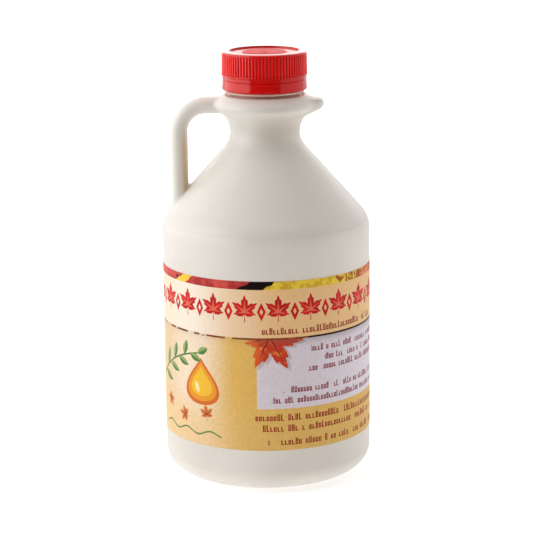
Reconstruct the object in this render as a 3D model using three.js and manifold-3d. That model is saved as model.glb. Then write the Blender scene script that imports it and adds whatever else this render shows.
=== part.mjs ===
// Maple syrup jug: a blow-moulded one litre plastic jug with a finger handle and a pouring lip,
// shut by a ribbed screw cap over its tamper band, with a paper label round the wall.
// Millimetres, +Z up. The origin is the centre of the base. The handle points along -X and
// the pouring lip along +X.
import * as THREE from 'three';
import { mergeVertices } from 'three/addons/utils/BufferGeometryUtils.js';
import Module from 'manifold-3d';

const wasm = await Module();
wasm.setup();

const { degToRad, lerp, clamp } = THREE.MathUtils;

// Jug body, from the base up
const BODY_RADIUS = 49.5;
const BODY_SIDES = 72;
const FOOT_HOLLOW_RADIUS = 29;
const FOOT_HOLLOW_DEPTH = 2.2;
const FOOT_HOLLOW_RISE = 5;
const BASE_CORNER_WIDTH = 14.5;
const BASE_CORNER_HEIGHT = 11.6;
const WALL_TOP = 118.4;
const SHOULDER_CURVE = 13.3;
const SHOULDER_SLOPE = degToRad(48.6);
const WAIST_RADIUS = 16.5;
const WAIST_CURVE_BELOW = 9.7;
const WAIST_CURVE_ABOVE = 12.5;

// Collar and neck: the collar's edge is blunt above and tight below
const COLLAR_RADIUS = 24;
const COLLAR_HEIGHT = 177.4;
const COLLAR_EDGE_UNDER = 1.5;
const COLLAR_EDGE_TOP_WIDTH = 3.9;
const COLLAR_EDGE_TOP_HEIGHT = 3.6;
const COLLAR_TOP_TURN = 60;
const COLLAR_UNDER_TURN = 49;
const COLLAR_INNER_RADIUS = 18.6;
const COLLAR_INNER_HEIGHT = 182.5;
const NECK_GROOVE_RADIUS = 18;
const NECK_GROOVE_SLANT = 0.3;
const NECK_RING_RADIUS = 18.8;
const NECK_RING_BOTTOM = 183.7;
const NECK_RING_TOP = 184.6;
const NECK_RADIUS = 17.4;
const NECK_TOP = 200.2;

// Handle: a rounded bar out of the collar, round a bend and down into the shoulder
const HANDLE_THICKNESS = 7.8;
const HANDLE_WIDTH = 13;
const HANDLE_OUTSIDE = 44.7;
const HANDLE_BAR_HEIGHT = 177.2;
const HANDLE_BEND = 12.9;
const HANDLE_ROOT = 17;
const HANDLE_FOOT = 122;
const HANDLE_FLARE_TOP = 143;
const HANDLE_FLARE = 0.25;
const HANDLE_STEPS = 30;
const HANDLE_SIDES = 20;

// Pouring lip: a tongue that runs out of the collar, opposite the handle
const LIP_ROOT = 12;
const LIP_TIP = 28;
const LIP_ROOT_HALF_WIDTH = 11.5;
const LIP_TIP_HALF_WIDTH = 3.4;
const LIP_TOP_HEIGHT = 179.5;
const LIP_TOP_SLOPE = 0.15;
const LIP_UNDER_HEIGHT = 175.2;
const LIP_UNDER_SLOPE = 0.48;
const LIP_GAUGE = 25.5;
const LIP_NOSE_POWER = 12;
const LIP_SIDES = 20;
const LIP_STEPS = 12;

// How square the rounded sections are: 2 is an ellipse, more is boxier
const HANDLE_SQUARENESS = 2.4;
const LIP_SQUARENESS = 3;

// Label: paper that lies in a shallow panel, its two ends a little apart at the back
const LABEL_BOTTOM = 22;
const LABEL_TOP = 102.9;
const LABEL_THICKNESS = 0.25;
const LABEL_GAP = 0.3;
const LABEL_STANDS_PROUD = 0.1;
const LABEL_SEAM = degToRad(5);
const PANEL_MARGIN = 1.2;

// Screw cap and tamper band
const CAP_BOTTOM = 189.8;
const CAP_TOP = 203.1;
const CAP_RADIUS = 19.9;
const CAP_BORE = 17.8;
const CAP_INSIDE_TOP = 200.6;
const CAP_EDGE = 0.5;
const RIM_WIDTH = 1.3;
const RIM_OVERHANG = 0.05;
const RIM_RECESS = 0.7;
const DISC_RADIUS = 10.6;
const DISC_RECESS = 0.3;
const LEDGE_RADIUS = 20.3;
const LEDGE_THICKNESS = 0.5;
const LEDGE_SLANT = 0.2;
const RIB_COUNT = 80;
const RIB_BOTTOM = 192.2;
const RIB_TOP = 202.5;
const RIB_CREST_RADIUS = 20.2;
const RIB_BACKING_RADIUS = 19.3;
const RIB_ROOT_RADIUS = 18.7;
const RIB_DEPTH = 0.45;
const RIB_DRAFT = 0.2;
const RIB_FOOT_WIDTH = 0.95;
const RIB_CREST_WIDTH = 0.45;
const RIB_OVERRUN = 0.25;
const BAND_BOTTOM = 185;
const BAND_TOP = 189.5;
const BAND_EDGE = 0.8;
const BAND_BORE = 17.8;

const FACETS_A_QUARTER = 6;

const jugPlastic = new THREE.MeshStandardMaterial({ color: 0xe9e4d8, roughness: 0.42, metalness: 0 });
const capPlastic = new THREE.MeshStandardMaterial({ color: 0xd01018, roughness: 0.3, metalness: 0 });
const labelPaper = new THREE.MeshStandardMaterial({ color: 0xe2c98f, roughness: 0.55, metalness: 0 });

// Points along an ellipse between two angles, both ends included
function arc(centreR, centreZ, radiusR, radiusZ, fromDegrees, toDegrees) {
  const turn = Math.abs(toDegrees - fromDegrees);
  const steps = Math.max(2, Math.round((turn / 90) * FACETS_A_QUARTER));
  const points = [];
  for (let i = 0; i <= steps; i += 1) {
    const angle = degToRad(lerp(fromDegrees, toDegrees, i / steps));
    points.push(corner(centreR + radiusR * Math.cos(angle), centreZ + radiusZ * Math.sin(angle)));
  }
  return points;
}

function corner(r, z) {
  return new THREE.Vector2(r, z);
}

// A turned shape stood upright on the Z axis
function turned(profile, sides) {
  return new THREE.LatheGeometry(profile, sides).rotateX(Math.PI / 2);
}

// A section between an ellipse and a rectangle
function roundedSection(halfX, halfY, squareness, sides) {
  const power = 2 / squareness;
  const points = [];
  for (let i = 0; i < sides; i += 1) {
    const angle = (2 * Math.PI * i) / sides;
    const c = Math.cos(angle);
    const s = Math.sin(angle);
    points.push(new THREE.Vector2(
      halfX * Math.sign(c) * Math.abs(c) ** power,
      halfY * Math.sign(s) * Math.abs(s) ** power,
    ));
  }
  return points;
}

// Moves every vertex by a rule
function reshape(geometry, rule) {
  const position = geometry.getAttribute('position');
  const point = new THREE.Vector3();
  for (let i = 0; i < position.count; i += 1) {
    point.fromBufferAttribute(position, i);
    rule(point);
    position.setXYZ(i, point.x, point.y, point.z);
  }
  return geometry;
}

// One closed skin: position only, shared vertices, no triangle folded flat at the axis
function closedSkin(geometry) {
  const bare = geometry.clone();
  bare.deleteAttribute('normal');
  bare.deleteAttribute('uv');
  const skin = mergeVertices(bare);
  const corners = skin.getIndex().array;
  const kept = [];
  for (let i = 0; i < corners.length; i += 3) {
    const [a, b, c] = [corners[i], corners[i + 1], corners[i + 2]];
    if (a !== b && b !== c && c !== a) kept.push(a, b, c);
  }
  skin.setIndex(kept);
  return skin;
}

function toSolid(geometry) {
  const skin = closedSkin(geometry);
  return new wasm.Manifold(new wasm.Mesh({
    numProp: 3,
    vertProperties: new Float32Array(skin.getAttribute('position').array),
    triVerts: new Uint32Array(skin.getIndex().array),
  }));
}

function toGeometry(solid) {
  const mesh = solid.getMesh();
  const geometry = new THREE.BufferGeometry();
  geometry.setAttribute('position', new THREE.BufferAttribute(mesh.vertProperties, 3));
  geometry.setIndex(new THREE.BufferAttribute(mesh.triVerts, 1));
  return geometry;
}

function bodyShape() {
  const footEdge = BODY_RADIUS - BASE_CORNER_WIDTH;
  const panelRadius = BODY_RADIUS + LABEL_STANDS_PROUD - LABEL_THICKNESS - LABEL_GAP;
  const panelBottom = LABEL_BOTTOM - PANEL_MARGIN;
  const panelTop = LABEL_TOP + PANEL_MARGIN;
  const shoulderTurn = 90 - THREE.MathUtils.radToDeg(SHOULDER_SLOPE);
  const waistBelow = WAIST_RADIUS + WAIST_CURVE_BELOW;
  const waistAbove = WAIST_RADIUS + WAIST_CURVE_ABOVE;
  const shoulderEnd = BODY_RADIUS - SHOULDER_CURVE * (1 - Math.sin(SHOULDER_SLOPE));
  const shoulderEndHeight = WALL_TOP + SHOULDER_CURVE * Math.cos(SHOULDER_SLOPE);
  const coneEnd = waistBelow - WAIST_CURVE_BELOW * Math.sin(SHOULDER_SLOPE);
  const coneRise = (shoulderEnd - coneEnd) * Math.tan(SHOULDER_SLOPE);
  const waistHeight = shoulderEndHeight + coneRise + WAIST_CURVE_BELOW * Math.cos(SHOULDER_SLOPE);
  const edgeUnder = COLLAR_RADIUS - COLLAR_EDGE_UNDER;
  const edgeTop = COLLAR_RADIUS - COLLAR_EDGE_TOP_WIDTH;
  const underStart = 180 - COLLAR_UNDER_TURN;
  return [
    corner(0, FOOT_HOLLOW_DEPTH),
    corner(FOOT_HOLLOW_RADIUS - FOOT_HOLLOW_RISE, FOOT_HOLLOW_DEPTH),
    corner(FOOT_HOLLOW_RADIUS, 0),
    ...arc(footEdge, BASE_CORNER_HEIGHT, BASE_CORNER_WIDTH, BASE_CORNER_HEIGHT, -90, 0),
    corner(BODY_RADIUS, panelBottom - PANEL_MARGIN / 2),
    corner(panelRadius, panelBottom),
    corner(panelRadius, panelTop),
    corner(BODY_RADIUS, panelTop + PANEL_MARGIN / 2),
    ...arc(BODY_RADIUS - SHOULDER_CURVE, WALL_TOP, SHOULDER_CURVE, SHOULDER_CURVE, 0, shoulderTurn),
    ...arc(waistBelow, waistHeight, WAIST_CURVE_BELOW, WAIST_CURVE_BELOW, 180 + shoulderTurn, 180),
    ...arc(waistAbove, waistHeight, WAIST_CURVE_ABOVE, WAIST_CURVE_ABOVE, 180, underStart).slice(1),
    ...arc(edgeUnder, COLLAR_HEIGHT, COLLAR_EDGE_UNDER, COLLAR_EDGE_UNDER, -COLLAR_UNDER_TURN, 0),
    ...arc(
      edgeTop, COLLAR_HEIGHT, COLLAR_EDGE_TOP_WIDTH, COLLAR_EDGE_TOP_HEIGHT, 0, COLLAR_TOP_TURN,
    ).slice(1),
    corner(COLLAR_INNER_RADIUS, COLLAR_INNER_HEIGHT),
    corner(NECK_GROOVE_RADIUS, COLLAR_INNER_HEIGHT + NECK_GROOVE_SLANT),
    corner(NECK_GROOVE_RADIUS, NECK_RING_BOTTOM - NECK_GROOVE_SLANT),
    corner(NECK_RING_RADIUS, NECK_RING_BOTTOM),
    corner(NECK_RING_RADIUS, NECK_RING_TOP),
    corner(NECK_RADIUS, NECK_RING_TOP),
    corner(NECK_RADIUS, NECK_TOP),
    corner(0, NECK_TOP),
  ];
}

// The bar's centre line as a flat path, its second number the height
function handleLine() {
  const barX = -(HANDLE_OUTSIDE - HANDLE_THICKNESS / 2);
  const bendX = barX + HANDLE_BEND;
  const bendHeight = HANDLE_BAR_HEIGHT - HANDLE_BEND;
  const line = new THREE.Path();
  line.moveTo(-HANDLE_ROOT, HANDLE_BAR_HEIGHT);
  line.lineTo(bendX, HANDLE_BAR_HEIGHT);
  line.absarc(bendX, bendHeight, HANDLE_BEND, Math.PI / 2, Math.PI, false);
  line.lineTo(barX, HANDLE_FOOT);
  const points = line.getSpacedPoints(HANDLE_STEPS).map((p) => new THREE.Vector3(p.x, 0, p.y));
  return new THREE.CatmullRomCurve3(points);
}

function handle() {
  const section = new THREE.Shape(
    roundedSection(HANDLE_THICKNESS / 2, HANDLE_WIDTH / 2, HANDLE_SQUARENESS, HANDLE_SIDES),
  );
  const bar = new THREE.ExtrudeGeometry(section, {
    steps: HANDLE_STEPS,
    extrudePath: handleLine(),
    bevelEnabled: false,
  });
  const outside = -HANDLE_OUTSIDE;
  // The bar grows towards the shoulder, its outer face staying straight
  return reshape(bar, (p) => {
    const down = clamp((HANDLE_FLARE_TOP - p.z) / (HANDLE_FLARE_TOP - HANDLE_FOOT), 0, 1);
    const growth = 1 + HANDLE_FLARE * down * down;
    p.x = outside + (p.x - outside) * growth;
    p.y *= growth;
  });
}

function pouringLip() {
  const tongue = new THREE.CylinderGeometry(1, 1, 1, LIP_SIDES, LIP_STEPS).rotateZ(-Math.PI / 2);
  const power = 2 / LIP_SQUARENESS;
  return reshape(tongue, (p) => {
    const along = Math.sin(((p.x + 0.5) * Math.PI) / 2);
    const nose = Math.sqrt(Math.max(0, 1 - along ** LIP_NOSE_POWER));
    const x = lerp(LIP_ROOT, LIP_TIP, along);
    const top = LIP_TOP_HEIGHT - LIP_TOP_SLOPE * (x - LIP_GAUGE);
    const under = LIP_UNDER_HEIGHT + LIP_UNDER_SLOPE * (x - LIP_GAUGE);
    const side = Math.sign(p.y) * Math.abs(p.y) ** power;
    const upright = Math.sign(p.z) * Math.abs(p.z) ** power;
    p.x = x;
    p.y = side * nose * lerp(LIP_ROOT_HALF_WIDTH, LIP_TIP_HALF_WIDTH, along);
    p.z = (top + under) / 2 + upright * nose * ((top - under) / 2);
  });
}

function jug() {
  const body = toSolid(turned(bodyShape(), BODY_SIDES));
  return toGeometry(body.add(toSolid(handle())).add(toSolid(pouringLip())));
}

// The outline of the ribs seen from above: a flat crest, then a groove, and so on round
function ribOutline() {
  const outline = [];
  for (let i = 0; i < RIB_COUNT; i += 1) {
    const middle = (2 * Math.PI * i) / RIB_COUNT;
    for (const [offset, radius] of [
      [-RIB_FOOT_WIDTH / 2, RIB_CREST_RADIUS - RIB_DEPTH],
      [-RIB_CREST_WIDTH / 2, RIB_CREST_RADIUS],
      [RIB_CREST_WIDTH / 2, RIB_CREST_RADIUS],
      [RIB_FOOT_WIDTH / 2, RIB_CREST_RADIUS - RIB_DEPTH],
    ]) {
      const angle = middle + offset / RIB_CREST_RADIUS;
      outline.push(new THREE.Vector2(radius * Math.cos(angle), radius * Math.sin(angle)));
    }
  }
  return outline;
}

// The grip runs a little into the ledge below it and the rim above it, and narrows upwards
function ribs() {
  const depth = RIB_TOP - RIB_BOTTOM + 2 * RIB_OVERRUN;
  const grip = new THREE.Shape(ribOutline());
  grip.holes.push(new THREE.Path().absarc(0, 0, RIB_ROOT_RADIUS, 0, 2 * Math.PI, true));
  const ring = new THREE.ExtrudeGeometry(grip, { depth, bevelEnabled: false });
  ring.translate(0, 0, RIB_BOTTOM - RIB_OVERRUN);
  return reshape(ring, (p) => {
    const up = (p.z - RIB_BOTTOM) / (RIB_TOP - RIB_BOTTOM);
    const narrowing = 1 - (RIB_DRAFT * up) / RIB_CREST_RADIUS;
    p.x *= narrowing;
    p.y *= narrowing;
  });
}

function capShell() {
  const rimRadius = RIB_CREST_RADIUS - RIB_DRAFT + RIM_OVERHANG;
  const recessRadius = rimRadius - CAP_EDGE - RIM_WIDTH;
  const ledgeBottom = RIB_BOTTOM - LEDGE_THICKNESS;
  const floor = CAP_TOP - RIM_RECESS;
  return [
    corner(0, CAP_INSIDE_TOP),
    corner(CAP_BORE, CAP_INSIDE_TOP),
    corner(CAP_BORE, CAP_BOTTOM),
    corner(CAP_RADIUS, CAP_BOTTOM),
    corner(CAP_RADIUS, ledgeBottom - LEDGE_SLANT),
    corner(LEDGE_RADIUS, ledgeBottom),
    corner(LEDGE_RADIUS, RIB_BOTTOM),
    corner(RIB_BACKING_RADIUS, RIB_BOTTOM),
    corner(RIB_BACKING_RADIUS, RIB_TOP),
    corner(rimRadius, RIB_TOP),
    ...arc(rimRadius - CAP_EDGE, CAP_TOP - CAP_EDGE, CAP_EDGE, CAP_EDGE, 0, 90),
    corner(recessRadius, CAP_TOP),
    corner(recessRadius, floor),
    corner(DISC_RADIUS, floor),
    corner(DISC_RADIUS, floor - DISC_RECESS),
    corner(0, floor - DISC_RECESS),
  ];
}

function cap() {
  return toGeometry(toSolid(turned(capShell(), BODY_SIDES)).add(toSolid(ribs())));
}

function tamperBand() {
  return turned([
    corner(BAND_BORE, BAND_BOTTOM),
    corner(CAP_RADIUS - BAND_EDGE, BAND_BOTTOM),
    ...arc(CAP_RADIUS - BAND_EDGE, BAND_BOTTOM + BAND_EDGE, BAND_EDGE, BAND_EDGE, -90, 0).slice(1),
    corner(CAP_RADIUS, BAND_TOP),
    corner(BAND_BORE, BAND_TOP),
    corner(BAND_BORE, BAND_BOTTOM),
  ], BODY_SIDES);
}

// A wrap seen from above: the outer arc, then the inner arc back
function wrap() {
  const outer = BODY_RADIUS + LABEL_STANDS_PROUD;
  const inner = outer - LABEL_THICKNESS;
  const start = Math.PI / 2 + LABEL_SEAM / 2;
  const sweep = 2 * Math.PI - LABEL_SEAM;
  const steps = Math.round(sweep / ((2 * Math.PI) / BODY_SIDES));
  const outline = [];
  for (let i = 0; i <= steps; i += 1) {
    const angle = start + (sweep * i) / steps;
    outline.push(new THREE.Vector2(outer * Math.cos(angle), outer * Math.sin(angle)));
  }
  for (let i = steps; i >= 0; i -= 1) {
    const angle = start + (sweep * i) / steps;
    outline.push(new THREE.Vector2(inner * Math.cos(angle), inner * Math.sin(angle)));
  }
  const depth = LABEL_TOP - LABEL_BOTTOM;
  const paper = new THREE.ExtrudeGeometry(new THREE.Shape(outline), { depth, bevelEnabled: false });
  return paper.translate(0, 0, LABEL_BOTTOM);
}

function piece(name, geometry, material) {
  const mesh = new THREE.Mesh(geometry, material);
  mesh.name = name;
  return mesh;
}

const group = new THREE.Group();
group.add(
  piece('jug', jug(), jugPlastic),
  piece('cap', cap(), capPlastic),
  piece('tamper_band', tamperBand(), capPlastic),
  piece('label', wrap(), labelPaper),
);

export default group;
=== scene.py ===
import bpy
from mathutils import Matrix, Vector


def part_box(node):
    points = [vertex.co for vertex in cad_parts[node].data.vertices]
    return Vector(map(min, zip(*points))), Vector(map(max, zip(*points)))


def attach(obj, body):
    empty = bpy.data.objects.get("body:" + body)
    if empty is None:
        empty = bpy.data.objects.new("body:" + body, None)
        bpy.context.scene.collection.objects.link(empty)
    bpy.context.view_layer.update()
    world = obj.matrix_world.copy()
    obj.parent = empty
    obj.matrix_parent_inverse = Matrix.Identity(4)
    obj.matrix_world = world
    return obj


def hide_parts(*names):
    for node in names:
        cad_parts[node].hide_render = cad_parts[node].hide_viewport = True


bl_info = {
    "name": "Maple syrup jug",
    "version": (1, 0, 0),
    "blender": (4, 5, 0),
    "location": "3D View > Sidebar > Syrup jug",
    "description": "Builds the visible pieces of a one litre maple syrup jug around its packed frame",
    "category": "Object",
}

import math

import bmesh
import bpy
import numpy as np
from bpy.props import FloatProperty, FloatVectorProperty, IntProperty, PointerProperty
from mathutils import Matrix, Vector

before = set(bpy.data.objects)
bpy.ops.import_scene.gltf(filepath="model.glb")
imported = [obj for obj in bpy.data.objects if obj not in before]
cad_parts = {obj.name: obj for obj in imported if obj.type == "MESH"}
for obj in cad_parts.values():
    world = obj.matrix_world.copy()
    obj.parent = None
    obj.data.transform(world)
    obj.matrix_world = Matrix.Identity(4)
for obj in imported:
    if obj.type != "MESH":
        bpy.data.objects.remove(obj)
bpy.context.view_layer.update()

MM = 0.001
LABEL_LOW, LABEL_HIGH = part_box("label")
BAND_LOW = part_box("tamper_band")[0]
CAP_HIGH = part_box("cap")[1]

# Outline of the turned body, in millimetres and degrees
FOOT_HOLLOW = (24, 2.2)
FOOT_RING = (29, 35)
BASE_CORNER = 11.6
COLLAR_EDGE_UNDER = 1.5
COLLAR_EDGE_TOP = (3.9, 3.6)
COLLAR_TOP_TURN = 60
COLLAR_UNDER_TURN = 49
NECK_FOOT = (18.7, 182.85)
NECK_TROUGH = (18.1, 181.9)
TABLE_CELL = 0.3

# Handle and pouring lip, in millimetres: regions are limits along X, Y and Z, lip faces a height and a slope
HANDLE_SQUARENESS = 2.4
HANDLE_FLARE_HEIGHTS = (143, 122)
HANDLE_FLARE = 0.25
HANDLE_ROOT = -17
HANDLE_REGION = (-13, 16, 112)
LIP_ROOT = 12
LIP_HALF_WIDTHS = (15, 4.2)
LIP_TOP = (180.35, -0.05)
LIP_UNDER = (175.0, 0.42)
LIP_GAUGE = 25.5
LIP_SQUARENESS_ABOVE = 5
LIP_SQUARENESS_BELOW = 2.8
LIP_NOSE_POWER = 26
LIP_REGION = (8, 20, 165)

# Neck, in millimetres
NECK_LOW, NECK_HIGH = (181.5, 200.2)
NECK_STEM = 16.6
NECK_RADIUS = 17.4
NECK_RING = 18.8
NECK_RING_LOW, NECK_RING_HIGH = (183.75, 184.6)

# Screw cap, in millimetres: a bead parts the plain strip from the ribs, and the top is recessed
HOLLOW_RADIUS = 17.8
HOLLOW_TOP = 200.6
CAP_FOOT = 189.7
BEAD_RADIUS = 20.3
BEAD_LOW, BEAD_HIGH = (191.6, 192.2)
RIB_BACKING = 19.55
RIB_LOW = 192.1
RIB_DROP = 1.15
RIM_RADIUS = 20.1
RIM_EDGE = 0.7
RIM_INNER_EDGE = 0.2
RECESS_RADIUS = 16.5
RECESS_CORNER = 0.4
RECESS_DEPTH = 0.95
RECESS_RING = 10.7
GATE_RADIUS = 1.5

# Tamper ring and its bridges, in millimetres
RING_HIGH = 189.62
RING_FLARE = 0.25
RING_CORNER = 0.4
RING_FLARE_HEIGHTS = (1.1, 2.1)
BRIDGE_COUNT = 24
BRIDGE_LOW = 189.4
BRIDGE_TALL = 0.45
BRIDGE_WIDTHS = (0.7, 0.6)
BRIDGE_INSET = 0.6
BRIDGE_DEPTH = 0.7

# Sides of the turned pieces and of the label
NECK_SIDES = 180
CAP_SIDES = 240
LABEL_SIDES = 240
LABEL_ROWS = 8

# Finishes that pieces share, and how strongly the jug's surfaces reflect
JUG_FINISH = "waxy_white_plastic"
CAP_FINISH = "glossy_red_plastic"
SURFACE_IOR = 1.5

# Where the finishes, the painted shade and the painted reflection change, in millimetres: four numbers are a
# rise and a fall
WALL_STEP = 123.4
MOULD_LINE = (0.1, 0.4)
# Painted shade and warm bounce on the inner side of the handle
HANDLE_PAINTED_SHADE_OUT = (-43, -38.5, -37.2, -36)
HANDLE_PAINTED_SHADE_UP = (128, 138, 158, 170)
HANDLE_PAINTED_SHADE_BESIDE = (5, 7)
# Painted shade with red bounce from the cap, just below the cap
NECK_PAINTED_SHADE_UP = (180.2, 182.2, 183.7, 183.9)
NECK_PAINTED_SHADE_AWAY = (18.2, 20.5)
# Painted reflection of the red cap on the neck ring
NECK_RING_PAINTED_REFLECTION_UP = (183.6, 183.9)
# Painted shade under the collar, on the side towards the lip
COLLAR_SHADE_UP = (160, 167, 172, 177)
COLLAR_SHADE_OUT = (-9, 4)
RIBBED_UP = (192, 192.6, 201.8, 202.3)
# Painted shade in the grooves between the ribs
RIB_GROOVE_AWAY = (19.6, 19.95)
DISC_AWAY = (10.4, 10.8)
DISC_UP = (201.5, 201.6)

# The label's printing: millimetres round the jug from its front, then up, then a turn in degrees or a size
ALL_ROUND = (-160, 160)
PANEL_LEFT, PANEL_RIGHT = (-2.4, 118)
PANEL_BOTTOM, PANEL_TOP = (42.2, 76.2)
BAND_TOP = 99
ROW_END = 112
PANEL_ROWS = ((23.5, 68.8), (30.8, 64), (21.8, 59.4), (9.8, 49.8), (5, 44.8))
GOLD_ROWS = ((-3.5, 36.4), (-0.2, 31.2), (2.5, 24.6))
BAND_ROW = (0, 70, 77.9)
SHADOW_LINE = (75.3, 76.4)
SHADOW_LINE_WHOLE = 22
MOTIF_PITCH = 15.6
MOTIF_HEIGHT = 88.6
MOTIF_SIZE = 8.1
STRIP_TOP = 110
STRIP_SPOTS_END = -44
STRIP_YELLOW = (-45, -38)
STRIP_DARK_START = -8
STRIP_GOLD_START = 3.5
STRIP_BROWN_START = 6
STRIP_CORAL_START = 58
HANGING_LEAF = (3.5, 76.5, 209)
HANGING_LEAF_SHADE = (5, 75.8, 209)
HANGING_LEAF_SIZE = 17.5
DROP = (-31, 53, 11.5)
DROP_RINGS = ((1.0, (222, 112, 36)), (0.84, (240, 160, 40)), (0.62, (250, 196, 52)))
TWIG = (-67, 49, 27, 38)
TWIG_SAG = 0.008
TWIG_LEAVES = 8
TWIG_LEAF_SPREAD = 46
TWIG_LEAF_HALF_WIDTH = 1.7
FALLEN_LEAF_SIZE = 5.2
WAVY_LINE = (-62, -20, 28)
LINE_HALF_WIDTH = 0.4
LEAF_LOBES = ((0, 1.0), (54, 0.93), (104, 0.7))
LEAF_NOTCH = 0.42
LOBE_TEETH = ((-13, 0.76), (-9, 0.7), (0, 1.0), (9, 0.7), (13, 0.76))
LEAF_STALK = ((134, 0.4), (155, 0.3), (170, 0.2), (175.5, 0.12), (177, 0.6))

# Floor and cards, in millimetres
FLOOR_HALF_WIDTH = 4000
FLOOR_FRONT, FLOOR_BACK = (-3000, 9000)
CARD_LOW, CARD_HIGH = (90, 450)
BACK_CARD_LOW = 200


def from_screen(*values):
    """Turns red, green and blue from 0 to 255 into the linear values that Blender mixes."""
    linear = []
    for value in values:
        part = value / 255
        linear.append(part / 12.92 if part <= 0.04045 else ((part + 0.055) / 1.055) ** 2.4)
    return tuple(linear)


def length_setting(name, description, millimetres):
    return FloatProperty(name=name, description=description, default=millimetres * MM, unit="LENGTH")


def angle_setting(name, description, degrees):
    return FloatProperty(name=name, description=description, default=math.radians(degrees), unit="ROTATION")


def colour_setting(name, description, *screen):
    return FloatVectorProperty(
        name=name, description=description, default=from_screen(*screen), subtype="COLOR")


class JugBodySizes(bpy.types.PropertyGroup):
    wall_radius: length_setting("Wall radius", "Radius of the straight wall", 49.45)
    wall_top: length_setting("Wall top", "Height where the shoulder starts", 118.4)
    shoulder_curve: length_setting("Shoulder curve", "Radius between wall and slope", 13.3)
    shoulder_slope: angle_setting("Shoulder slope", "Slope above the wall", 48.6)
    waist_radius: length_setting("Waist radius", "Narrowest radius", 16.5)
    waist_below: length_setting("Curve below the waist", "Radius of that curve", 9.7)
    waist_above: length_setting("Curve above the waist", "Radius of that curve", 12.5)
    collar_radius: length_setting("Collar radius", "Radius of the collar's edge", 24)
    collar_height: length_setting("Collar height", "Height of the collar's edge", 177.4)
    handle_width: length_setting("Handle width", "Width of the bar", 13)
    handle_thickness: length_setting("Handle thickness", "Thickness of the bar", 7.8)
    handle_reach: length_setting("Handle reach", "From the axis to the outer face", 44.7)
    handle_height: length_setting("Handle height", "Height of the level bar", 177.2)
    handle_bend: length_setting("Handle bend", "Radius of the bend", 12.9)
    handle_blend: length_setting("Handle fillet", "Softness where the handle joins", 1.1)
    lip_reach: length_setting("Lip reach", "From the axis to the tip", 28)
    lip_blend: length_setting("Lip fillet", "Softness where the lip joins", 1.3)
    spacing: length_setting("Mesh spacing", "Size of the skin's faces", 0.95)
    colour: colour_setting("Plastic", "Colour of the jug's plastic", 235, 230, 222)


class CapSizes(bpy.types.PropertyGroup):
    radius: length_setting("Radius", "Radius of the plain strip and band", 19.9)
    rib_count: IntProperty(name="Ribs", description="Ribs round the cap", default=80, min=12, max=160)
    rib_crest_radius: length_setting("Rib radius", "From the axis to a rib's crest", 20.2)
    rib_depth: length_setting("Rib depth", "Depth of the grooves", 0.5)
    rib_foot: length_setting("Rib foot", "Width of a rib at its foot", 1.2)
    rib_crest: length_setting("Rib crest", "Width of a rib at its crest", 0.6)
    colour: colour_setting("Cap plastic", "Colour of the cap and band", 218, 4, 3)


class LabelSizes(bpy.types.PropertyGroup):
    bottom: length_setting("Bottom", "Height of the lower edge", LABEL_LOW.z / MM)
    top: length_setting("Top", "Height of the upper edge", LABEL_HIGH.z / MM)
    radius: length_setting("Outer radius", "Radius of the printed face", LABEL_HIGH.x / MM)
    thickness: length_setting("Paper", "Thickness of the paper", 0.09)
    seam: angle_setting("Seam", "Gap between the ends at the back", 5)
    gold: colour_setting("Gold", "Ground colour of the label", 237, 191, 99)
    red: colour_setting("Red", "Colour of the large motifs", 222, 26, 14)


class StageSizes(bpy.types.PropertyGroup):
    camera_distance: length_setting("Camera distance", "Level distance from the jug's axis", 1000.33)
    camera_height: length_setting("Camera height", "Height above the floor", 327.72)
    camera_turn: angle_setting("Camera turn", "Turn towards the pouring lip", 3)
    camera_pitch: angle_setting("Camera pitch", "Downward tilt", 12.8907)
    camera_roll: angle_setting("Camera roll", "Tilt about the view", 0.6105)
    lens: FloatProperty(
        name="Lens", description="Focal length in millimetres on a 36 mm sensor", default=144.27)


def add_object(name, data):
    made = bpy.data.objects.new(name, data)
    bpy.context.scene.collection.objects.link(made)
    return made


def shaped_mesh(piece):
    """The mesh that a piece's modifiers make of it."""
    shaped = piece.evaluated_get(bpy.context.evaluated_depsgraph_get())
    return bpy.data.meshes.new_from_object(shaped)


def plain_mesh(name, points, faces):
    """A mesh object from points in millimetres."""
    mesh = bpy.data.meshes.new(name)
    mesh.from_pydata([tuple(float(v) * MM for v in p) for p in points], [], faces)
    mesh.validate()
    return add_object(name, mesh)


def finish_piece(piece, material, slot, *nodes, crease=35):
    """Smooth shading with real corners kept, the finish, and the place on the body."""
    mesh = piece.data
    mesh.materials.clear()
    mesh.materials.append(material)
    mesh.shade_smooth()
    if crease:
        mesh.set_sharp_from_angle(angle=math.radians(crease))
    if nodes:
        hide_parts(*nodes)
    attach(piece, "root")


def arc(centre, radii, start, end, step=3):
    """Points along an ellipse between two angles in degrees."""
    count = max(2, math.ceil(abs(end - start) / step))
    turns = np.radians(np.linspace(start, end, count + 1))
    across = centre[0] + radii[0] * np.cos(turns)
    up = centre[1] + radii[1] * np.sin(turns)
    return [tuple(p) for p in np.column_stack((across, up))]


def turned(name, outline, sides, closed=False):
    """A turned piece from an outline of radius and height that runs up its outside."""
    points = []
    rings = []
    for radius, height in outline:
        if radius < 1e-6:
            rings.append([len(points)])
            points.append((0, 0, height))
            continue
        rings.append(list(range(len(points), len(points) + sides)))
        for i in range(sides):
            turn = 2 * math.pi * i / sides
            points.append((radius * math.cos(turn), radius * math.sin(turn), height))
    pairs = list(zip(rings, rings[1:]))
    if closed:
        pairs.append((rings[-1], rings[0]))
    faces = []
    for low, high in pairs:
        for i in range(sides):
            j = (i + 1) % sides
            if len(low) == 1:
                faces.append((low[0], high[j], high[i]))
            elif len(high) == 1:
                faces.append((low[i], low[j], high[0]))
            else:
                faces.append((low[i], low[j], high[j], high[i]))
    return plain_mesh(name, points, faces)


def in_millimetres(sizes, *names):
    return [getattr(sizes, name) / MM for name in names]


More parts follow.
